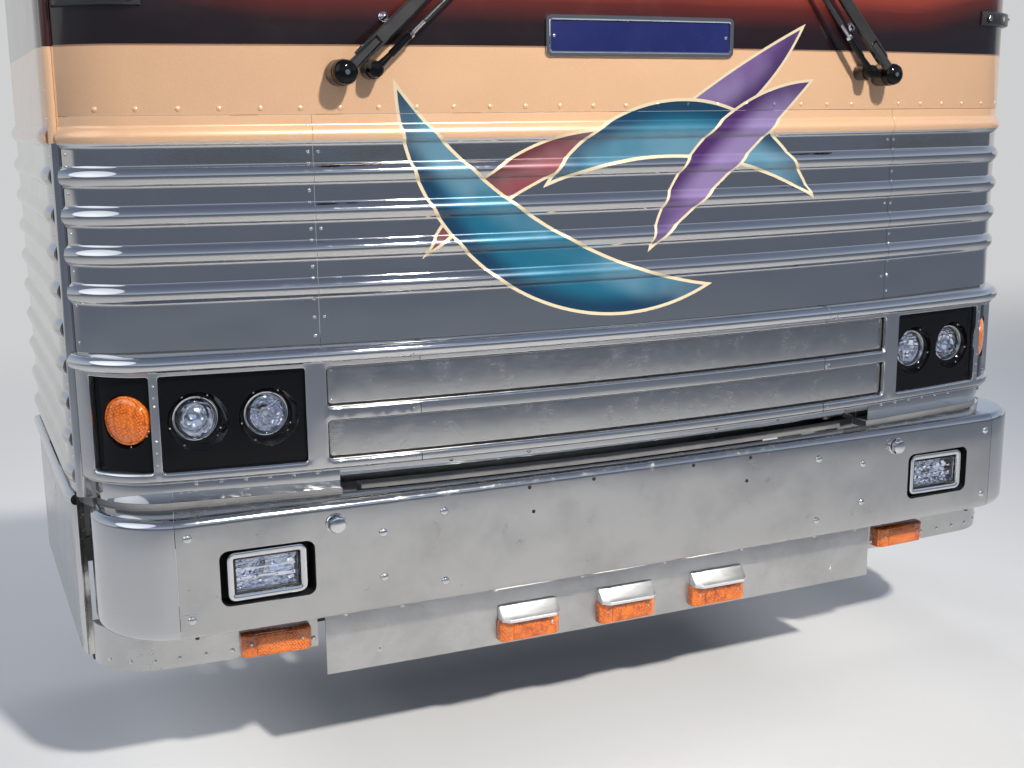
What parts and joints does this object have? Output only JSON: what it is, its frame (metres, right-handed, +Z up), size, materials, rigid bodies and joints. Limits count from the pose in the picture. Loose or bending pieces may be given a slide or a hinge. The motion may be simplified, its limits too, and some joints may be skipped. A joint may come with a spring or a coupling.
{
  "type": "motorhome front end",
  "caption": "Lower front end of a coach-built motorhome: fluted bright skin, painted upper band, lamps, reclining bumper, wipers and the frame that bolts to the chassis.",
  "frame": {"origin": "middle of the four bolt holes in the rear end plates of the chassis rails, on the plates' rear face, 480 mm above the road", "axes": "+X to the right as seen from in front, +Y towards the tail of the coach, +Z up"},
  "size_m": [2.644, 1.1935, 2.4491],
  "materials": {
    "bright_steel": "polished stainless sheet, faintly brushed along its length",
    "mirror_steel": "mirror-bright stainless, lightly scuffed",
    "dull_aluminium": "satin, road-worn",
    "dark_red_paint": "gloss dark red over a metallic tan band",
    "tan_paint": "gloss metallic tan",
    "lamp_glass": "clear moulded lens",
    "amber_lens": "clear amber, ribbed",
    "bay_black": "gloss black",
    "trim_black": "satin black",
    "black_rubber": "matt",
    "plate_blue": "dark blue enamel in a bright frame",
    "frame_grey": "satin grey primer",
    "frame_black": "satin black",
    "pin_steel": "turned"
  },
  "bodies": {
    "front": {"apron": "bright_steel", "centre_panels": "mirror_steel", "chassis_rails": "frame_grey", "corner_strips": "bright_steel", "cross_beams": "frame_grey", "fluted_centre": "bright_steel", "fluted_corners": "bright_steel", "headlamps": "lamp_glass", "hinge_brackets": "frame_grey", "hinge_pins": "pin_steel", "hoops": "frame_grey", "lamp_buckets": "bay_black", "lamp_frames": "mirror_steel", "lower_rail": "mirror_steel", "mid_rail": "mirror_steel", "mirror_feet": "trim_black", "name_plate": "plate_blue", "painted_panel": "dark_red_paint", "posts": "frame_grey", "rear_posts": "frame_grey", "side_panels": "bright_steel", "side_skirts": "dull_aluminium", "sill_rubber": "black_rubber", "spare_tray": "frame_grey", "turn_lamps": "amber_lens", "upper_rail": "mirror_steel", "wiper_motors": "frame_black", "wiper_spindles": "trim_black"},
    "bumper": {"bumper_face": "mirror_steel", "bumper_ends": "mirror_steel", "bumper_beam": "frame_black", "fog_lamps": "lamp_glass", "valance": "dull_aluminium", "skirts": "dull_aluminium", "centre_markers": "amber_lens", "marker_hoods": "dull_aluminium", "outer_markers": "amber_lens", "tow_caps": "mirror_steel"},
    "arm_left": {"wiper_arm_left": "trim_black"},
    "link_left": {"wiper_link_left": "trim_black"},
    "blade_left": {"wiper_blade_left": "black_rubber"},
    "arm_right": {"wiper_arm_right": "trim_black"},
    "link_right": {"wiper_link_right": "trim_black"},
    "blade_right": {"wiper_blade_right": "black_rubber"}
  },
  "joints": [
    {"name": "bumper_recline", "type": "hinge", "parent": "front", "child": "bumper", "pos_m": [0, -1, -0.13], "axis": [1, 0, 0], "range_deg": [0, 70]},
    {"name": "wiper_left", "type": "hinge", "parent": "front", "child": "arm_left", "pos_m": [-0.72, -1.15114, 1.171], "axis": [0, -1, 0], "range_deg": [0, 85]},
    {"name": "wiper_link_left", "type": "hinge", "parent": "front", "child": "link_left", "pos_m": [-0.653, -1.15114, 1.177], "axis": [0, -1, 0], "range_deg": [0, 85]},
    {"name": "wiper_blade_left", "type": "hinge", "parent": "arm_left", "child": "blade_left", "pos_m": [-0.06603, -1.15114, 1.75983], "axis": [0, -1, 0], "range_deg": [-85, 0]},
    {"name": "wiper_right", "type": "hinge", "parent": "front", "child": "arm_right", "pos_m": [0.72, -1.15114, 1.171], "axis": [0, 1, 0], "range_deg": [0, 80]},
    {"name": "wiper_link_right", "type": "hinge", "parent": "front", "child": "link_right", "pos_m": [0.653, -1.15114, 1.177], "axis": [0, 1, 0], "range_deg": [0, 80]},
    {"name": "wiper_blade_right", "type": "hinge", "parent": "arm_right", "child": "blade_right", "pos_m": [0.14267, -1.15114, 1.83514], "axis": [0, 1, 0], "range_deg": [-80, 0]}
  ],
  "couplings": [
    {"joint": "wiper_link_left", "follows": "wiper_left", "ratio": 1},
    {"joint": "wiper_blade_left", "follows": "wiper_left", "ratio": -1},
    {"joint": "wiper_link_right", "follows": "wiper_right", "ratio": 1},
    {"joint": "wiper_blade_right", "follows": "wiper_right", "ratio": -1}
  ]
}
